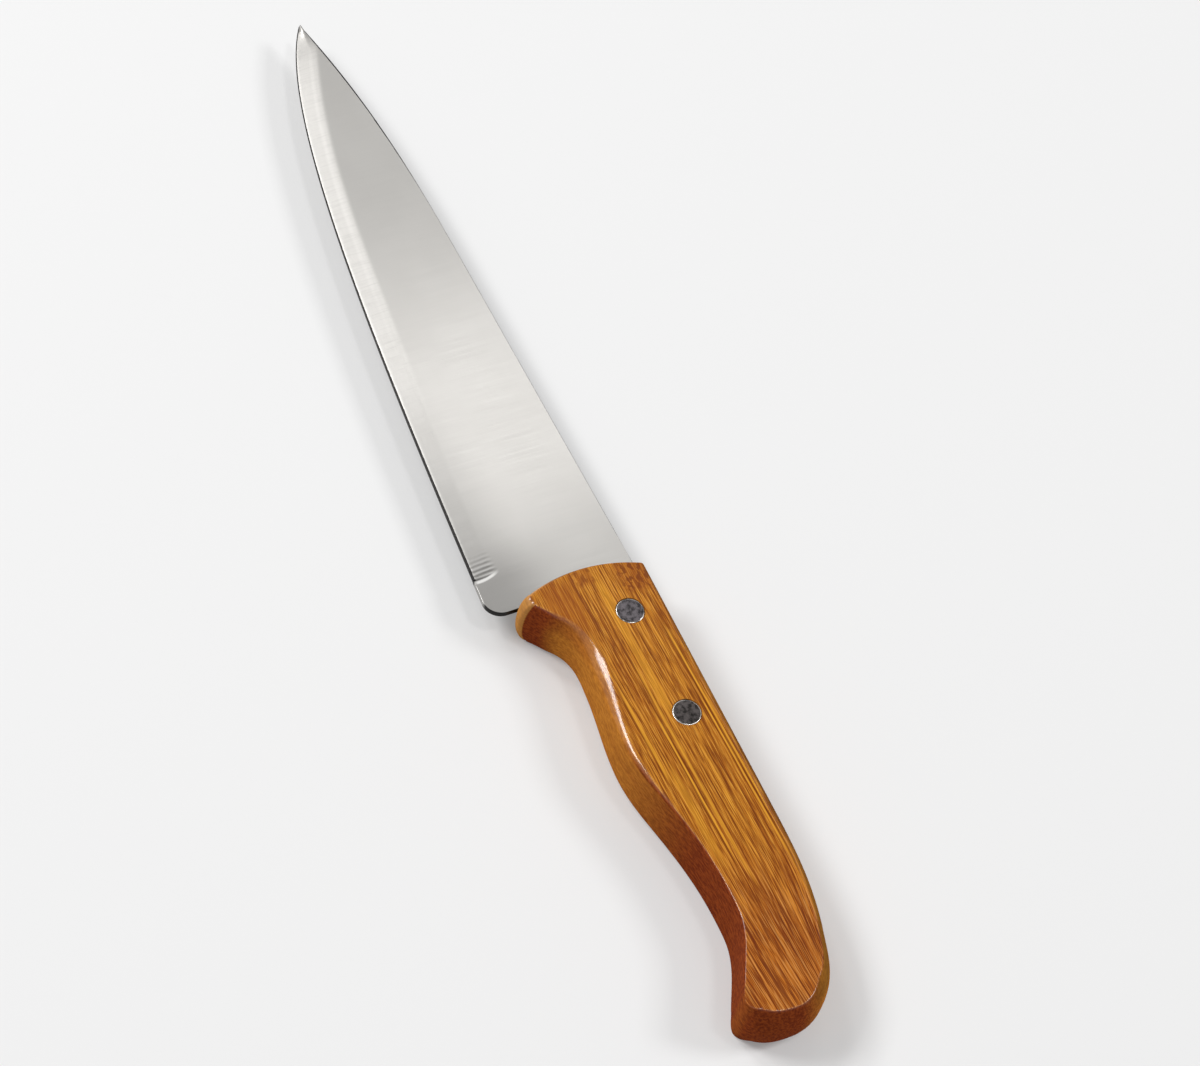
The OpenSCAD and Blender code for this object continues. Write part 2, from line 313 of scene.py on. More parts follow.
def chain(rows):
    """Rows of place, edge shift, edge depth and crispness along a chain of knots."""
    result = []
    for a, b in zip(rows, rows[1:]):
        start, end = np.array(a[:2]), np.array(b[:2])
        pull = PULL_SHARE * np.linalg.norm(end - start)
        leave = start + pull * heading(a[2])
        arrive = end - pull * heading(b[2])
        for s in range(CURVE_STEPS):
            t = s / CURVE_STEPS
            result.append([*bezier(start, leave, arrive, end, t), *mix(a[3:], b[3:], t)])
    return result


def handle_outline():
    head = edge_row([handle_front(HEAD_Y), HEAD_Y], front_heading(HEAD_Y), FRONT_TOP_EDGE)
    foot = edge_row([handle_front(FOOT_Y), FOOT_Y], front_heading(FOOT_Y), FRONT_FOOT_EDGE)
    top = edge_row([TOP_FRONT_X, handle_top(TOP_FRONT_X)], GRIP_KNOTS[0][2], CORNER_EDGE)
    front = []
    for s in range(CURVE_STEPS * 2):
        t = s / (CURVE_STEPS * 2)
        y = float(mix(FOOT_Y, HEAD_Y, t))
        front.append([handle_front(y), y, *mix(foot[3:], head[3:], t)])
    grip = [knot_row(k) for k in GRIP_KNOTS]
    nose = [knot_row(k) for k in NOSE_KNOTS]
    return np.array(chain([head, top] + grip) + chain(nose + [foot]) + front)


def crisp_profile(angle, shift, depth):
    """Way in and up along a bowed wall that meets the flat side in a small fillet."""
    def wall(t):
        return np.array([bezier(*WALL_IN, t) * shift, bezier(*WALL_UP, t) * depth])
    slope = np.hypot(WALL_END_SLOPES[0] * shift, WALL_END_SLOPES[1] * depth)
    wall_end = 1 - np.minimum(FILLET / slope, FILLET_MOST_SHARE)
    if angle <= FILLET_START:
        return wall(wall_end * angle / FILLET_START)
    crease = np.array([shift, depth])
    inside = np.array([shift + FILLET, depth])
    t = (angle - FILLET_START) / (90 - FILLET_START)
    return mix(mix(wall(wall_end), crease, t), mix(crease, inside, t), t)


def handle_ring(outline, angle, side):
    """The handle's skin at one level: 0 is the widest outline and 90 the flat side."""
    a = math.radians(angle)
    x, y, shift_x, shift_y, depth, crisp = outline.T
    shift = np.maximum(np.hypot(shift_x, shift_y), LEAST_SHIFT)
    crisp_in, crisp_up = crisp_profile(angle, shift, depth)
    inward = mix(shift * (1 - math.cos(a)), crisp_in, crisp) / shift
    up = mix(depth * math.sin(a), crisp_up, crisp)
    return np.column_stack([x + shift_x * inward, y + shift_y * inward,
                            side * (HALF_HANDLE - depth + up)])


def slot_cutter():
    half = HALF_BLADE + SLOT_CLEARANCE
    rear = TANG_LENGTH + SLOT_CLEARANCE
    floor = TANG_FLOOR - SLOT_CLEARANCE
    mouth_rear = ROOT_X + TANG_ROOT_RADIUS + SLOT_CLEARANCE
    mouth_floor = floor - TANG_ROOT_RADIUS
    shape = [[-OVERRUN, OVERRUN], [-OVERRUN, mouth_floor], [mouth_rear, mouth_floor],
             [mouth_rear, floor], [rear, floor], [rear, OVERRUN]]
    return loft("slot", [[np.array([x, y, z]) for x, y in shape] for z in (half, -half)])


def bore_cutter(x):
    floor = HALF_HANDLE - HEAD_DEPTH
    top = HALF_HANDLE + OVERRUN
    profile = [[0, -top], [SEAT_RADIUS, -top], [SEAT_RADIUS, -floor], [BORE_RADIUS, -floor],
               [BORE_RADIUS, floor], [SEAT_RADIUS, floor], [SEAT_RADIUS, top], [0, top]]
    return turned("bore", [x, TANG_MIDDLE, 0], profile)


def make_handle():
    outline = handle_outline()
    rings = [handle_ring(outline, angle, 1) for angle in reversed(ROUND_ANGLES)]
    rings += [handle_ring(outline, angle, -1) for angle in ROUND_ANGLES]
    piece = loft("bamboo_handle", rings)
    cut(piece, slot_cutter())
    for x in RIVETS.values():
        cut(piece, bore_cutter(x))
    smooth(piece, HANDLE_SHARP_ANGLE)
    return piece


# Blade

BACK_X = handle_front(FOOT_Y) - SHOULDER_GAP
LAND_X = BACK_X - HEEL_RADIUS - HEEL_LAND
EDGE_HEEL = [LAND_X - HEEL_RUN, HEEL_STEP - BLADE_HEIGHT]
EDGE_TIP = [-BLADE_LENGTH, -TIP_DROP - TIP_HEIGHT / 2]


def spine_at(x):
    past = max(0, -x / BLADE_LENGTH - SPINE_STRAIGHT_SHARE) / (1 - SPINE_STRAIGHT_SHARE)
    return -TIP_DROP * past ** SPINE_FALL_POWER


def spine_points():
    points = []
    steps = CURVE_STEPS * 3
    for s in range(steps + 1):
        x = float(mix(-BLADE_LENGTH, -BLADE_LENGTH * SPINE_STRAIGHT_SHARE, s / steps))
        points.append([x, spine_at(x) + (TIP_HEIGHT / 2 if s == 0 else 0)])
    return points


def tang_points():
    points = [[TOP_FRONT_X, 0],
              [TOP_FRONT_X + SPINE_STEP, handle_top(TOP_FRONT_X + SPINE_STEP)],
              [TANG_LENGTH, handle_top(TANG_LENGTH)]]
    points += arc([TANG_LENGTH - TANG_END_RADIUS, TANG_FLOOR + TANG_END_RADIUS],
                  TANG_END_RADIUS, 0, -90)
    points += arc([ROOT_X + TANG_ROOT_RADIUS, TANG_FLOOR - TANG_ROOT_RADIUS],
                  TANG_ROOT_RADIUS, 90, 180)
    return points


def heel_points():
    points = []
    for s in range(1, CURVE_STEPS + 1):
        y = float(mix(TANG_FLOOR - TANG_ROOT_RADIUS, FOOT_Y, s / CURVE_STEPS))
        points.append([handle_front(y) - SHOULDER_GAP, y])
    points += arc([BACK_X - HEEL_RADIUS, HEEL_RADIUS - BLADE_HEIGHT], HEEL_RADIUS, 0, -90)
    return points + [[LAND_X + HEEL_LAND / 2, HEEL_STEP / 2 - BLADE_HEIGHT],
                     [LAND_X, EDGE_HEEL[1]]]


def edge_row_at(share):
    return bezier(EDGE_HEEL, EDGE_HEEL_PULL, EDGE_TIP_PULL, EDGE_TIP, share)


EDGE_LINE = np.array([edge_row_at(s / EDGE_STEPS) for s in range(EDGE_STEPS + 1)])[::-1]


def break_at(x):
    """Width of the broken corner, which widens along the falling spine toward the tip."""
    start, full = TIP_BREAK_REACH
    past = smooth_share(-x, BLADE_LENGTH * start, BLADE_LENGTH * full)
    height = spine_at(x) - np.interp(x, EDGE_LINE[:, 0], EDGE_LINE[:, 1])
    most = max(EDGE_BREAK / 2, TIP_BREAK_SHARE * height)
    return float(min(mix(EDGE_BREAK, TIP_BREAK, past), most))


def plain_columns():
    """Place, way in to the flat side and height at the outline, along the unground edges."""
    spine = spine_points()
    points = [np.array(p) for p in spine + tang_points() + heel_points()]
    around = [np.array(EDGE_TIP)] + points + [np.array(EDGE_HEEL)]
    columns = []
    for i, (last, p, following) in enumerate(zip(around, points, around[2:])):
        u = (p - last) / np.linalg.norm(p - last)
        v = (following - p) / np.linalg.norm(following - p)
        u, v = np.array([u[1], -u[0]]), np.array([v[1], -v[0]])
        width = break_at(p[0]) if 0 < i < len(spine) else EDGE_BREAK
        way = width * (u + v) / (1 + u @ v)
        columns.append([*p, *way, HALF_BLADE - EDGE_BREAK, 0])
    return columns


def grind_at(x, y):
    return min(GRIND_WIDTH, max(EDGE_BREAK, GRIND_HEIGHT_SHARE * (spine_at(x) - y)))


def run_out_columns():
    """Where the grinding ends at the heel: its depth and width fade over a short length."""
    columns = []
    for s in range(1, RUN_OUT_STEPS):
        t = s / RUN_OUT_STEPS
        x = float(mix(LAND_X, EDGE_HEEL[0], t))
        width = max(EDGE_BREAK, GRIND_WIDTH * math.sqrt(1 - (1 - t) ** 2))
        depth = smooth_share(t, 0, 1)
        height = mix(HALF_BLADE - EDGE_BREAK, EDGE_THICKNESS / 2, depth)
        columns.append([x, EDGE_HEEL[1], 0, width, height, t])
    return columns


def ground_columns():
    columns = []
    for s in range(EDGE_STEPS + 1):
        t = s / EDGE_STEPS
        x, y = edge_row_at(t)
        inner_x = max(x, EDGE_BREAK - BLADE_LENGTH)
        columns.append([x, y, inner_x - x, grind_at(x, y), EDGE_THICKNESS / 2, 1])
    return columns


def honed_at(x, width):
    """Width of the honed edge, where the whole bevel is as wide as given."""
    share = smooth_share(-x, 0, BLADE_LENGTH)
    return min(float(mix(HONED_HEEL_WIDTH, HONED_TIP_WIDTH, share)), HONED_SHARE * width)


GRIND_STEPS = [0, 0.12, 0.3, 0.5, 0.66, 0.76, 0.84, 0.9, 0.95, 1]
GRIND_FADE = 0.7


def grind_rise(share):
    """Rise of the main bevel, straight at first and easing into the flat side."""
    slope = 1 / (GRIND_FADE + (1 - GRIND_FADE) / 2)
    past = max(0, share - GRIND_FADE)
    return slope * share - slope * past * past / (2 * (1 - GRIND_FADE))


def blade_rings(columns, side):
    """Rings from the outline up to the flat side: the honed edge first, then the grind."""
    rings = [[] for _ in range(len(GRIND_STEPS) + 1)]
    for x, y, way_x, way_y, height, ground in columns:
        width = math.hypot(way_x, way_y)
        honed = honed_at(x, width) / width
        honed_height = min(height + HONED_SLOPE * honed * width,
                           float(mix(height, HALF_BLADE, HONED_RISE_SHARE)))
        rings[0].append([x, y, side * height])
        for level, step in enumerate(GRIND_STEPS):
            along = honed + (1 - honed) * step
            round_rise = math.sqrt(1 - (1 - along) ** 2)
            round_z = height + (HALF_BLADE - height) * round_rise
            ground_z = honed_height + (HALF_BLADE - honed_height) * grind_rise(step)
            z = float(mix(round_z, ground_z, ground))
            rings[level + 1].append([x + way_x * along, y + way_y * along, side * z])
    return [np.array(ring) for ring in rings]


def make_blade():
    columns = plain_columns() + run_out_columns() + ground_columns()
    upper = blade_rings(columns, 1)
    lower = blade_rings(columns, -1)
    piece = loft("ground_blade", upper[::-1] + lower)
    profile = [[0, -BLADE_OVERRUN], [BORE_RADIUS, -BLADE_OVERRUN],
               [BORE_RADIUS, BLADE_OVERRUN], [0, BLADE_OVERRUN]]
    for x in RIVETS.values():
        cut(piece, turned("bore", [x, TANG_MIDDLE, 0], profile))
    mark_blade(piece, columns)
    smooth(piece, STEEL_SHARP_ANGLE)
    return piece


# Least part of Z in a flat side's normal, and share of the bevel's width that counts as bevel
FLAT_NORMAL = 0.995
WITHIN_SHARE = 0.999


def mark_blade(piece, columns):
    """Gives each face its finish: 0 the sides, 1 the sheared edges, 2 the honed edge."""
    ground = np.array([c for c in columns if c[5] > 0])[::-1]
    for polygon in piece.data.polygons:
        x, y, _ = np.array(polygon.center) / MM - ORIGIN
        # Past the ends of the ground edge this is nan, which is never less than a width
        above_edge = y - np.interp(x, ground[:, 0], ground[:, 1], left=np.nan, right=np.nan)
        width = np.interp(x, ground[:, 0], ground[:, 3])
        if abs(polygon.normal.z) > FLAT_NORMAL:
            polygon.material_index = 0
        elif above_edge < width * WITHIN_SHARE:
            polygon.material_index = 2 if above_edge < honed_at(x, width) else 0
        else:
            polygon.material_index = 1


# Rivets

def rim_profile():
    """The rounded rim of a head, from its side up to its face."""
    radius = HEAD_DIAMETER / 2
    centre = np.array([radius - HEAD_BREAK, HEAD_THICKNESS - HEAD_BREAK])
    return [list(p) for p in arc(centre, HEAD_BREAK, 0, 90, RIM_STEPS)]


def make_post(side):
    profile = [[0, -BARREL_LENGTH], [POST_DIAMETER / 2, -BARREL_LENGTH],
               [POST_DIAMETER / 2, 0], [HEAD_DIAMETER / 2, 0]]
    profile += rim_profile() + [[0, HEAD_THICKNESS]]
    centre = [RIVETS[side], TANG_MIDDLE, HALF_HANDLE - HEAD_DEPTH]
    return make_rivet(side + "_rivet_turned_post", centre, profile)


def make_barrel(side):
    inner = POST_DIAMETER / 2 + PRESS_CLEARANCE
    profile = [[0, 0], [inner, 0], [inner, -BARREL_LENGTH],
               [BARREL_DIAMETER / 2, -BARREL_LENGTH], [BARREL_DIAMETER / 2, 0],
               [HEAD_DIAMETER / 2, 0]]
    profile += rim_profile() + [[0, HEAD_THICKNESS]]
    centre = [RIVETS[side], TANG_MIDDLE, HEAD_DEPTH - HALF_HANDLE]
    return make_rivet(side + "_rivet_turned_barrel", centre, [[r, -h] for r, h in profile])


def make_rivet(name, centre, profile):
    piece = turned(name, centre, profile)
    middle = np.array(centre[:2])
    for polygon in piece.data.polygons:
        place = np.array(polygon.center) / MM - ORIGIN
        out = np.linalg.norm(place[:2] - middle) > HEAD_DIAMETER / 2 - HEAD_BREAK
        polygon.material_index = 1 if out else 0
    smooth(piece, STEEL_SHARP_ANGLE)
    return piece


# Materials

class Finish:
    """A material with one principled shader and short ways to add nodes to it."""

    def __init__(self, name):
        self.material = bpy.data.materials.new(name)
        self.material.use_nodes = True
        self.nodes = self.material.node_tree.nodes
        self.links = self.material.node_tree.links
        self.shader = self.nodes["Principled BSDF"]
        coordinates = self.nodes.new("ShaderNodeTexCoord")
        self.normal = coordinates.outputs["Normal"]
        scaled = self.nodes.new("ShaderNodeVectorMath")
        scaled.operation = "MULTIPLY_ADD"
        self.links.new(coordinates.outputs["Object"], scaled.inputs[0])
        scaled.inputs[1].default_value = (1 / MM, 1 / MM, 1 / MM)
        scaled.inputs[2].default_value = tuple(-ORIGIN)
        self.place = scaled.outputs[0]
        self.x, self.y, self.z = self.split(self.place)

    def put(self, socket, value):
        if isinstance(value, bpy.types.NodeSocket):
            self.links.new(value, socket)
        elif isinstance(value, (tuple, list)) and len(value) == 3 and socket.type == "RGBA":
            socket.default_value = (*value, 1)
        else:
            socket.default_value = value

    def set(self, **values):
        for name, value in values.items():
            self.put(self.shader.inputs[name.replace("_", " ")], value)

    def math(self, operation, *values):
        node = self.nodes.new("ShaderNodeMath")
        node.operation = operation
        for socket, value in zip(node.inputs, values):
            self.put(socket, value)
        return node.outputs[0]

    def product(self, *values):
        result = values[0]
        for value in values[1:]:
            result = self.math("MULTIPLY", result, value)
        return result

    def dimmed(self, value, where, share):
        """A value that is lower by a share of itself where a mask is 1."""
        return self.product(value, self.math("SUBTRACT", 1, self.product(where, share)))

    def split(self, vector):
        node = self.nodes.new("ShaderNodeSeparateXYZ")
        self.links.new(vector, node.inputs[0])
        return node.outputs

    def join(self, x, y, z):
        node = self.nodes.new("ShaderNodeCombineXYZ")
        for socket, value in zip(node.inputs, (x, y, z)):
            self.put(socket, value)
        return node.outputs[0]

    def stretched(self, x_scale, y_scale, z_scale, place=None):
        node = self.nodes.new("ShaderNodeVectorMath")
        node.operation = "MULTIPLY"
        self.put(node.inputs[0], place or self.place)
        node.inputs[1].default_value = (x_scale, y_scale, z_scale)
        return node.outputs[0]

    def noise(self, place, detail=2, roughness=0.5):
        node = self.nodes.new("ShaderNodeTexNoise")
        self.put(node.inputs["Vector"], place)
        node.inputs["Scale"].default_value = 1
        node.inputs["Detail"].default_value = detail
        node.inputs["Roughness"].default_value = roughness
        return node.outputs["Fac"]

    def spread(self, value, low, high, out_low=0.0, out_high=1.0, soft=True):
        node = self.nodes.new("ShaderNodeMapRange")
        node.interpolation_type = "SMOOTHSTEP" if soft else "LINEAR"
        for socket, number in zip(node.inputs, (value, low, high, out_low, out_high)):
            self.put(socket, number)
        return node.outputs[0]

    def band(self, value, middle, half_width, soft):
        """1 within a band of values and 0 outside it, with soft sides."""
        off = self.math("ABSOLUTE", self.math("SUBTRACT", value, middle))
        return self.spread(off, half_width, half_width + soft, 1.0, 0.0)

    def spot(self, across, up):
        """1 within a part of the side, whose two bands are given as for band."""
        return self.product(self.band(self.x, *across), self.band(self.y, *up))

    def blend(self, factor, a, b, mode="MIX"):
        node = self.nodes.new("ShaderNodeMix")
        node.data_type = "RGBA"
        node.blend_type = mode
        self.put(node.inputs["Factor"], factor)
        self.put(node.inputs[6], a)
        self.put(node.inputs[7], b)
        return node.outputs[2]

    def bump(self, height, strength, distance):
        node = self.nodes.new("ShaderNodeBump")
        node.inputs["Strength"].default_value = strength
        node.inputs["Distance"].default_value = distance * MM
        self.put(node.inputs["Height"], height)
        return node.outputs[0]


# Streaks of the bamboo that show from a step away: height, ends, half width and strength,
# and over which widths their sides and their ends fade
DARK_STREAKS = [
    [-3.7, 13, 40, 0.12, 0.52],
    [-4.6, 20, 92, 0.15, 0.68],
    [-5.5, 38, 70, 0.08, 0.6],
    [-7.6, 46, 80, 0.12, 0.38],
    [-10.7, 19, 34, 0.15, 0.6],
    [-10.3, 55, 84, 0.20, 0.38],
    [-13.2, 60, 100, 0.12, 0.38],
    [-16.2, 10, 40, 0.10, 0.6],
    [-16.9, 34, 70, 0.14, 0.68],
    [-17.8, 52, 86, 0.14, 0.68],
    [-19.6, 12, 36, 0.10, 0.38],
    [-21.8, 12, 34, 0.10, 0.52],
    [-22.8, 34, 58, 0.12, 0.52],
]
GOLD_STREAKS = [
    [-4.1, 24, 72, 0.15, 0.8],
    [-5.1, 44, 88, 0.12, 0.8],
    [-4.6, 82, 104, 0.50, 0.6],
    [-13.6, 4, 44, 1.00, 0.40],
    [-15.9, 30, 90, 0.25, 0.6],
    [-17.4, 44, 82, 0.14, 0.9],
    [-22.3, 36, 60, 0.30, 0.7],
    [-20.5, 58, 84, 0.80, 0.4],
]
STREAK_SIDE = 0.18
STREAK_TAPER = 8


def streaks(finish, across, rows):
    """How strongly the listed streaks show at each place."""
    total = 0.0
    for height, start, end, half_width, strength in rows:
        line = finish.band(across, height, half_width, STREAK_SIDE)
        half_length = (end - start - STREAK_TAPER) / 2
        reach = finish.band(finish.x, (start + end) / 2, half_length, STREAK_TAPER)
        total = finish.math("MAXIMUM", total, finish.product(line, reach, strength))
    return total


# Noises along the grain: scale along and across it, detail and roughness
GRAIN = {
    "broad": [0.012, 0.22, 2, 0.5],
    "streak": [0.022, 1.0, 3, 0.6],
    "fine": [0.055, 3.0, 3, 0.65],
    "hair": [0.14, 5.2, 2, 0.6],
    "fibre": [0.10, 3.2, 2, 0.6],
}
# Colours laid over the gold one after another: the noise that brings each out, the values
# between which it comes in, how much of it shows at most, and the colour
GRAIN_LAYERS = [
    ["streak", 0.50, 0.66, 0.6, (0.270, 0.072, 0.0080)],
    ["fine", 0.47, 0.36, 0.8, (0.640, 0.285, 0.0320)],
    ["fine", 0.53, 0.62, 0.95, (0.175, 0.042, 0.0065)],
    ["hair", 0.50, 0.62, 0.85, (0.160, 0.038, 0.0060)],
    ["hair", 0.46, 0.35, 0.65, (0.680, 0.320, 0.0450)],
]
REAR_LAYERS = [
    ["fibre", 0.50, 0.62, 0.75, (0.125, 0.026, 0.0080)],
    ["fibre", 0.47, 0.36, 0.6, (0.600, 0.270, 0.0700)],
]
GOLD = [(0.360, 0.114, 0.0115), (0.462, 0.168, 0.0165)]
GOLD_STREAK = (0.680, 0.310, 0.0280)
DARK_STREAK = (0.140, 0.030, 0.0040)
SCORCHED = (0.300, 0.080, 0.0090)
SCORCHED_FLECK = (0.160, 0.036, 0.0060)
REAR_TINT = (0.88, 0.69, 0.78)
# Rounded-edge colours with painted light and shade: a lit gold, and a shaded red-brown that is
# partly the bamboo's own darker red
WALL_GOLD_LIT = [(0.360, 0.125, 0.0180), (0.520, 0.200, 0.0280)]
WALL_RED_SHADED = [(0.135, 0.022, 0.0070), (0.265, 0.055, 0.0120)]
# A paler gold painted on the nose as the light that falls on it
NOSE_GOLD_LIT = (0.620, 0.350, 0.1200)
# A dark olive painted as shade on the roundings turned away
OLIVE_SHADE = (0.120, 0.060, 0.0100)

# Past this place the grain bends down, by these amounts from its lower to its upper side
DROOP_X = 84
DROOP = [-0.0008, 0.0045]


def bamboo_top(finish, wave):
    """Golden strips with red-brown fibres along the grain, scorched at the front corner."""
    m = finish.math
    past = m("MAXIMUM", m("SUBTRACT", finish.x, DROOP_X), 0)
    droop = finish.product(past, past, finish.spread(finish.y, -17, -6, *DROOP))
    across = m("ADD", m("ADD", finish.y, wave), droop)
    place = finish.join(finish.x, across, finish.z)
    grain = {name: finish.noise(finish.stretched(length, width, width, place), *look)
             for name, (length, width, *look) in GRAIN.items()}

    gold = finish.blend(finish.spread(grain["broad"], 0.36, 0.62), *GOLD)
    for name, start, full, most, colour in GRAIN_LAYERS:
        gold = finish.blend(finish.spread(grain[name], start, full, 0, most), gold, colour)
    straight = m("ADD", m("ADD", finish.y, m("MULTIPLY", wave, 0.35)), droop)
    gold = finish.blend(streaks(finish, straight, GOLD_STREAKS), gold, GOLD_STREAK)
    gold = finish.blend(streaks(finish, straight, DARK_STREAKS), gold, DARK_STREAK)

    corner = finish.spot((6.5, 3, 2.5), (-4.5, 3, 2))
    front = finish.spot((3, 1.5, 1.5), (-16.5, 1.5, 2))
    foot = finish.spot((10, 5, 6), (-24.5, 2.5, 3))
    burnt = m("MAXIMUM", corner, m("MULTIPLY", front, 0.7))
    gold = finish.blend(m("MULTIPLY", m("MAXIMUM", burnt, foot), 0.5), gold, SCORCHED)
    mottle = finish.noise(finish.stretched(0.45, 1.0, 0.5))
    flecks = finish.product(burnt, finish.spread(mottle, 0.49, 0.56), 0.8)
    gold = finish.blend(flecks, gold, SCORCHED_FLECK)

    tint = finish.blend(finish.spread(finish.x, 70, 112), (1, 1, 1), REAR_TINT)
    gold = finish.blend(1.0, gold, tint, "MULTIPLY")
    rear = finish.spread(finish.x, 78, 104)
    for name, start, full, most, colour in REAR_LAYERS:
        shown = m("MULTIPLY", finish.spread(grain[name], start, full), m("MULTIPLY", rear, most))
        gold = finish.blend(shown, gold, colour)
    return gold, grain


def bamboo_wall(finish, facing):
    """The rounded edges, with painted light and shade: lit gold along the grip, the nose and the
    upper edge, red-brown past them, partly the bamboo's own colour and partly painted shade.
    """
    m = finish.math
    # Where the wall is painted lit gold: along the grip, on the nose, a little at the butt's low
    # corner and along the upper edge
    grip = m("MULTIPLY", finish.spread(finish.x, 9, 14), finish.spread(finish.x, 80, 42))
    nose = finish.spread(finish.x, 6.2, 5.9)
    lit_low_corner = m("MULTIPLY", finish.band(finish.x, 116.5, 1.0, 2), 0.15)
    upper = finish.spread(finish.y, -21, -11)
    lit_share = m("MAXIMUM", m("MAXIMUM", grip, nose), m("MAXIMUM", lit_low_corner, upper))
    patches = finish.noise(finish.stretched(0.10, 0.25, 0.25))
    lit_share = m("MULTIPLY", lit_share, finish.spread(patches, 0.36, 0.56, 0.80, 1.0))
    # Painted shade on the upper wall at the front of the grip and before the butt
    painted_shade_places = m("MAXIMUM", m("MULTIPLY", finish.band(finish.x, 14, 4, 7), 0.55),
              finish.band(finish.x, 68, 12, 10))
    shoulder_shade = m("MULTIPLY", finish.spread(facing[2], 0.0, 0.35), painted_shade_places)
    lit_share = finish.dimmed(lit_share, shoulder_shade, 0.75)
    speck = finish.noise(finish.stretched(0.5, 1.8, 1.8), 3, 0.7)
    tone = finish.spread(speck, 0.35, 0.65)
    colour = finish.blend(lit_share, finish.blend(tone, *WALL_RED_SHADED), finish.blend(tone, *WALL_GOLD_LIT))
    # The nose is painted paler, as lit
    return finish.blend(m("MULTIPLY", nose, 0.35), colour, NOSE_GOLD_LIT)


def bamboo():
    finish = Finish("varnished bamboo")
    m = finish.math
    wave = finish.noise(finish.stretched(0.012, 0.05, 0.05))
    wave = m("MULTIPLY", m("SUBTRACT", wave, 0.5), 1.8)
    facing = finish.split(finish.normal)
    top, grain = bamboo_top(finish, wave)
    wall = finish.spread(facing[2], 0.88, 0.72)
    colour = finish.blend(wall, top, bamboo_wall(finish, facing))
    # Painted shade: dark olive on the roundings turned to the back and on the front face beside
    # the blade
    front = m("MULTIPLY", finish.spread(facing[0], -0.3, -0.7),
              finish.spread(finish.y, -27, -24))
    back = m("MAXIMUM", finish.spread(facing[1], 0.25, 0.7), front)
    back = finish.product(back, finish.spread(facing[2], 0.2, 0.5), 0.6)
    colour = finish.blend(back, colour, OLIVE_SHADE)

    # The varnish is thick where the flat side turns into the lower edge, and thin elsewhere
    rough = finish.spread(grain["fine"], 0.3, 0.7, 0.38, 0.50)
    edge = m("MULTIPLY", finish.spread(facing[2], 0.997, 0.98),
             finish.spread(facing[2], 0.50, 0.72))
    lower = finish.spread(facing[1], 0.40, 0.15)
    coat = m("ADD", finish.spread(wall, 0, 1, 0.12, 0.02, soft=False),
             finish.product(edge, lower, 0.80))
    finish.set(Base_Color=colour, Roughness=rough, Coat_Weight=coat, Coat_Roughness=0.15,
               Coat_IOR=1.5, Specular_IOR_Level=0.0)
    fibres = finish.bump(m("ADD", grain["streak"], grain["fine"]), 0.25, 0.05)
    ripple = finish.bump(finish.noise(finish.stretched(0.25, 0.5, 0.5)), 0.18, 0.05)
    finish.set(Normal=fibres, Coat_Normal=ripple)
    return finish.material


# Steel colours: the blade's sides, their grain and wear, the wheel's marks and the painted
# highlight at their end, the cut edges painted nearly black as dark reflection, the heel's land
# painted pale as lit, and the rivets' heads and rims, whose bright steel is partly painted sheen
SIDE_STEEL = [(0.592, 0.576, 0.550), (0.622, 0.606, 0.580)]
BRUSHED_STEEL = (0.35, 0.345, 0.34)
WORN_STEEL = (0.25, 0.245, 0.24)
DARK_MARK = (0.12, 0.116, 0.110)
PALE_MARK_AND_GLINT = (0.84, 0.83, 0.81)
EDGE_STEEL_PAINTED_DARK = [(0.004, 0.004, 0.004), (0.030, 0.029, 0.028)]
LAND_STEEL_LIT = (0.40, 0.39, 0.375)
HEAD_STEEL = [(0.032, 0.030, 0.031), (0.130, 0.117, 0.125)]
HEAD_SCRATCH = (0.24, 0.22, 0.23)
REAR_HEAD_TINT = (0.66, 0.64, 0.58)
RIM_STEEL_AND_SHEEN = [(0.16, 0.15, 0.14), (0.62, 0.60, 0.56)]

# Where the grinding ends at the heel: its foot, how it curves, and the marks before it
GRIND_END = [-8.15, -38.0]
GRIND_END_BOW = 0.042
LAST_MARK_X = -9.15
MARK_SPACING = 1.27


def grinding_marks(finish):
    """Dark and pale marks of the grinding wheel next to the heel, and a painted highlight along
    the end of the grinding.
    """
    m = finish.math
    rise = m("SUBTRACT", finish.y, GRIND_END[1])
    bow = finish.product(rise, rise, GRIND_END_BOW)
    inside = m("SUBTRACT", m("SUBTRACT", GRIND_END[0], bow), finish.x)
    waver = finish.noise(finish.stretched(0.5, 0.22, 0.22))
    along = m("ADD", m("SUBTRACT", LAST_MARK_X, finish.x), m("MULTIPLY", waver, 0.6))
    wheel = m("COSINE", m("MULTIPLY", m("SUBTRACT", along, 0.3), 2 * math.pi / MARK_SPACING))
    fade = m("MULTIPLY", finish.spread(inside, 0.2, 0.7), finish.spread(inside, 8.5, 1.5))
    level = m("MULTIPLY", finish.spread(finish.y, -31.6, -34.2),
              finish.spread(finish.y, -39.2, -38))
    shown = m("MULTIPLY", fade, level)
    dark = m("MULTIPLY", finish.spread(wheel, 0.0, 0.95), shown)
    light = finish.product(finish.spread(wheel, -0.2, -0.95), shown, 0.22)
    # Painted highlight along the curved end of the grinding
    end = finish.product(finish.band(inside, 0.20, 0.15, 0.45), level, 0.55)
    return dark, m("MAXIMUM", light, end)


# Line where the bevel's painted sheen fades into the side: a cubic of the way past one place
FADE_LINE_X = -120
FADE_LINE = [-21.25, -0.1422, 0.00101, -1.06e-05]
FADE_HALF_WIDTH = 0.9


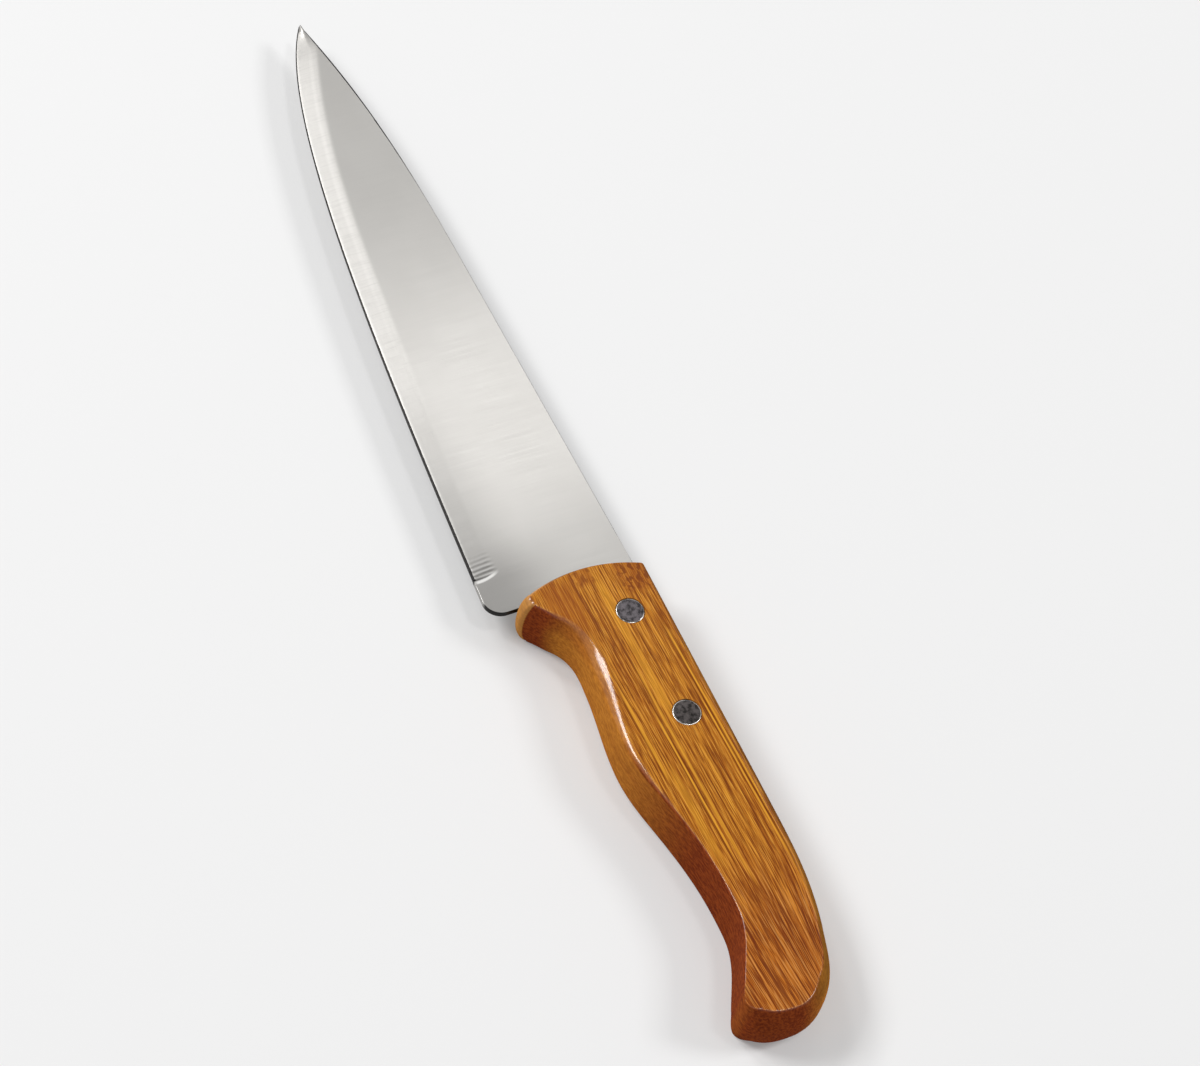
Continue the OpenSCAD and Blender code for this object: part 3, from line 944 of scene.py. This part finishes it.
def bevel_fade(finish):
    """The bevel and the strip just above it, which take a painted sheen, and the crest of that
    strip, which takes a painted highlight.
    """
    m = finish.math
    past = m("SUBTRACT", finish.x, FADE_LINE_X)
    line = FADE_LINE[3]
    for term in FADE_LINE[2::-1]:
        line = m("ADD", term, m("MULTIPLY", past, line))
    above = m("SUBTRACT", finish.y, line)
    strip = finish.spread(above, FADE_HALF_WIDTH, -FADE_HALF_WIDTH)
    return strip, finish.band(above, -1.2, 0.6, 1.0)


def painted_steel_light(finish, bevel, crest):
    """Painted reflection and shade on the blade's sides: brightness from place to place as a
    studio reflected in them gives, darker beside the handle, low on the blade and at the tip, and
    lighter on the bevel toward the tip.
    """
    m = finish.math
    tone = m("MULTIPLY", finish.spread(finish.x, -128, -56, 0.645, 0.93),
             finish.spread(finish.x, -42, 0, 1.0, 0.74))
    # Painted shade beside the handle's front and low on the middle of the blade, and a darker tip
    heel = m("MULTIPLY", finish.spread(finish.x, -20, -6), finish.spread(finish.y, -13, -32))
    low = m("MULTIPLY", finish.spread(finish.x, -75, -30), finish.spread(finish.y, -20, -36))
    tone = finish.dimmed(finish.dimmed(tone, heel, 0.23), low, 0.25)
    tone = m("MULTIPLY", tone, finish.spread(finish.x, -178, -188, 1.0, 0.70))
    # Painted reflection: the bevel and its crest lighter toward the tip
    lift = m("MULTIPLY", finish.spread(finish.x, -50, -135, 0.0, 0.42),
             finish.spread(finish.x, -188, -172, 0.4, 1.0))
    lift = m("MULTIPLY", lift, m("ADD", bevel, m("MULTIPLY", crest, 0.35)))
    return m("MULTIPLY", tone, m("ADD", 1, lift))


def ground_steel():
    finish = Finish("ground blade steel")
    m = finish.math
    brushed = finish.noise(finish.stretched(3.0, 0.05, 0.05), 4, 0.65)
    cloud = finish.noise(finish.stretched(0.03, 0.05, 0.05))
    scratches = finish.noise(finish.stretched(1.5, 0.10, 0.10), 3, 0.6)
    strip, crest = bevel_fade(finish)
    tilted = finish.spread(m("ABSOLUTE", finish.split(finish.normal)[2]), 0.9995, 0.9955)
    bevel = m("MAXIMUM", tilted, strip)
    dark_marks, light_marks_and_glint = grinding_marks(finish)

    # The sides' colour carries the painted reflection and shade
    tone = painted_steel_light(finish, bevel, crest)
    colour = finish.blend(finish.spread(cloud, 0.3, 0.7), *SIDE_STEEL)
    colour = finish.blend(1.0, colour, finish.join(tone, tone, tone), "MULTIPLY")
    colour = finish.blend(m("MULTIPLY", brushed, 0.10), colour, BRUSHED_STEEL)
    worn = finish.product(bevel, finish.spread(scratches, 0.45, 0.7),
                          finish.spread(finish.x, -50, -90, 0.04, 0.14))
    colour = finish.blend(worn, colour, WORN_STEEL)
    colour = finish.blend(m("MULTIPLY", dark_marks, 0.75), colour, DARK_MARK)
    colour = finish.blend(light_marks_and_glint, colour, PALE_MARK_AND_GLINT)
    rough = finish.spread(brushed, 0.3, 0.7, 0.30, 0.38)
    finish.set(Base_Color=colour, Metallic=1.0, Roughness=rough)
    height = m("SUBTRACT", m("MULTIPLY", brushed, 0.2), dark_marks)
    finish.set(Normal=finish.bump(height, 0.3, 0.03))
    return finish.material


def sheared_steel():
    """Cut edges painted nearly black as their dark reflection, and painted paler as lit along the
    heel's land and the spine across from it.
    """
    finish = Finish("sheared steel edge")
    lines = finish.noise(finish.stretched(0.2, 2.5, 6.0), 3, 0.6)
    # Painted light: the heel's land is drawn pale, as lit
    land = finish.product(finish.spread(finish.x, -9.2, -8.4), finish.spread(finish.x, -1.5, -3))
    colour = finish.blend(land, finish.blend(lines, *EDGE_STEEL_PAINTED_DARK), LAND_STEEL_LIT)
    finish.set(Base_Color=colour, Metallic=1.0, Roughness=finish.spread(lines, 0, 1, 0.35, 0.55))
    finish.set(Normal=finish.bump(lines, 0.3, 0.03))
    return finish.material


def honed_steel():
    finish = Finish("honed steel edge")
    lines = finish.noise(finish.stretched(4.0, 0.4, 0.4), 3, 0.6)
    # The honed edge is painted nearly black, as its dark reflection
    colour = finish.blend(lines, *EDGE_STEEL_PAINTED_DARK)
    finish.set(Base_Color=colour, Metallic=1.0, Roughness=finish.spread(lines, 0, 1, 0.25, 0.4))
    finish.set(Normal=finish.bump(lines, 0.25, 0.02))
    return finish.material


def rivet_face():
    """Mottled dark steel with a few scratches, darker on the rear rivet."""
    finish = Finish("rivet face")
    mottle = finish.noise(finish.stretched(0.8, 0.8, 0.8), 3, 0.65)
    scratch = finish.noise(finish.stretched(0.5, 4.0, 1.0), 3, 0.6)
    colour = finish.blend(finish.spread(mottle, 0.35, 0.65), *HEAD_STEEL)
    colour = finish.blend(finish.spread(scratch, 0.55, 0.75, 0, 0.4), colour, HEAD_SCRATCH)
    rear = finish.spread(finish.x, RIVETS["front"], RIVETS["rear"])
    colour = finish.blend(rear, colour, finish.blend(1.0, colour, REAR_HEAD_TINT, "MULTIPLY"))
    finish.set(Base_Color=colour, Metallic=1.0,
               Roughness=finish.spread(mottle, 0.3, 0.7, 0.25, 0.40))
    finish.set(Normal=finish.bump(mottle, 0.25, 0.04))
    return finish.material


def rivet_rim():
    """Patchy bright steel on the rounded rims, partly wear and partly painted sheen."""
    finish = Finish("rivet rim")
    wear_and_sheen = finish.noise(finish.stretched(0.7, 0.7, 0.7), 3, 0.6)
    # The bright patches are partly wear and partly painted sheen
    colour = finish.blend(finish.spread(wear_and_sheen, 0.36, 0.52), *RIM_STEEL_AND_SHEEN)
    finish.set(Base_Color=colour, Metallic=1.0,
               Roughness=finish.spread(wear_and_sheen, 0.3, 0.7, 0.18, 0.32))
    finish.set(Normal=finish.bump(wear_and_sheen, 0.15, 0.02))
    return finish.material


# Studio

FLOOR_TONE = 0.80
FLOOR_LIFT = 0.20
FLOOR_SIZE = 6.0
FLOOR_ROUGHNESS = 0.9
WORLD_TONE = 0.88
WORLD_LIGHT = 0.28

# Lights, all equally far away: name, direction, width and height in metres, and watts
LIGHT_DISTANCE = 2.4
LIGHTS = [
    ["key", (-0.45, -0.54, 0.71), 0.85, 0.65, 30],
    ["back light", (0.27, 0.68, 0.68), 0.6, 0.6, 18],
    ["overhead light", (0.20, 0.22, 0.95), 0.32, 0.32, 6],
    ["glint light", (-0.60, -0.18, 0.78), 0.40, 0.40, 6.2],
    ["nose light", (-0.70, -0.32, 0.64), 0.25, 0.25, 5],
    ["blade softbox", (-0.50, 0.34, 0.79), 0.5, 0.5, 1.3],
    ["side softbox", (-0.75, -0.12, 0.65), 0.9, 0.9, 4],
]

# The photograph's viewpoint, in metres and degrees: where it looks, from which side, from
# how far and how turned
CAMERA_TARGET = (0.02137, 0.01627, 0.008)
CAMERA_AZIMUTH = 51.24
CAMERA_ELEVATION = 54.11
CAMERA_ROLL = 15.40
CAMERA_DISTANCE = 0.73299
CAMERA_LENS = 90
CAMERA_SENSOR = 36
CAMERA_NEAR = 0.01


def plain_view(tree):
    """1 for what the camera sees, itself or by reflection or through glass, and 0 for the rest."""
    path = tree.nodes.new("ShaderNodeLightPath")
    seen = path.outputs["Is Camera Ray"]
    for name in ("Is Glossy Ray", "Is Transmission Ray"):
        both = tree.nodes.new("ShaderNodeMath")
        both.operation = "MAXIMUM"
        tree.links.new(seen, both.inputs[0])
        tree.links.new(path.outputs[name], both.inputs[1])
        seen = both.outputs[0]
    return seen


def level_node(tree, seen, other, plain):
    """One level where the camera's view asks, and another for all other light."""
    level = tree.nodes.new("ShaderNodeMapRange")
    tree.links.new(seen, level.inputs[0])
    level.inputs[3].default_value = other
    level.inputs[4].default_value = plain
    return level.outputs[0]


def make_floor():
    work = bmesh.new()
    bmesh.ops.create_grid(work, x_segments=4, y_segments=4, size=FLOOR_SIZE / 2)
    mesh = bpy.data.meshes.new("floor")
    work.to_mesh(mesh)
    work.free()
    floor = bpy.data.objects.new("floor", mesh)
    bpy.context.scene.collection.objects.link(floor)
    material = bpy.data.materials.new("pale floor")
    material.use_nodes = True
    shader = material.node_tree.nodes["Principled BSDF"]
    shader.inputs["Roughness"].default_value = FLOOR_ROUGHNESS
    shader.inputs["Specular IOR Level"].default_value = 0.0
    seen = plain_view(material.node_tree)
    tone = level_node(material.node_tree, seen, FLOOR_TONE, FLOOR_TONE - FLOOR_LIFT)
    lift = level_node(material.node_tree, seen, 0.0, FLOOR_LIFT)
    material.node_tree.links.new(tone, shader.inputs["Base Color"])
    shader.inputs["Emission Color"].default_value = (1, 1, 1, 1)
    material.node_tree.links.new(lift, shader.inputs["Emission Strength"])
    mesh.materials.append(material)


def make_world():
    """A pale surround for the camera and for reflections, and a lower light for the rest."""
    world = bpy.data.worlds.new("studio")
    bpy.context.scene.world = world
    world.use_nodes = True
    background = world.node_tree.nodes["Background"]
    background.inputs["Color"].default_value = (1, 1, 1, 1)
    level = level_node(world.node_tree, plain_view(world.node_tree), WORLD_LIGHT, WORLD_TONE)
    world.node_tree.links.new(level, background.inputs["Strength"])


def make_lights():
    for name, direction, width, height, power in LIGHTS:
        light = bpy.data.lights.new(name, "AREA")
        light.shape = "RECTANGLE"
        light.size = width
        light.size_y = height
        light.energy = power
        lamp = bpy.data.objects.new(name, light)
        bpy.context.scene.collection.objects.link(lamp)
        away = Vector(direction).normalized()
        lamp.location = away * LIGHT_DISTANCE
        lamp.rotation_euler = away.to_track_quat("Z", "Y").to_euler()


def make_camera():
    camera = bpy.data.cameras.new("camera")
    camera.lens = CAMERA_LENS
    camera.sensor_width = CAMERA_SENSOR
    camera.clip_start = CAMERA_NEAR
    holder = bpy.data.objects.new("camera", camera)
    bpy.context.scene.collection.objects.link(holder)
    tilt = Euler((math.radians(90 - CAMERA_ELEVATION), 0, math.radians(CAMERA_AZIMUTH)))
    turn = tilt.to_matrix() @ Matrix.Rotation(math.radians(CAMERA_ROLL), 3, "Z")
    place = Vector(CAMERA_TARGET) + CAMERA_DISTANCE * (turn @ Vector((0, 0, 1)))
    holder.matrix_world = Matrix.Translation(place) @ turn.to_4x4()
    bpy.context.scene.camera = holder


# Assembly

def place_piece(piece, node, materials):
    for material in materials:
        piece.data.materials.append(material)
    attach(piece, "root")
    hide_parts(node)


def main():
    place_piece(make_handle(), "handle", [bamboo()])
    place_piece(make_blade(), "blade",
                [ground_steel(), sheared_steel(), honed_steel()])
    face, rim = rivet_face(), rivet_rim()
    for side in RIVETS:
        place_piece(make_post(side), side + "_rivet_post", [face, rim])
        place_piece(make_barrel(side), side + "_rivet_barrel", [face, rim])
    make_floor()
    make_world()
    make_lights()
    make_camera()
    bpy.context.scene.view_settings.view_transform = "Standard"


main()
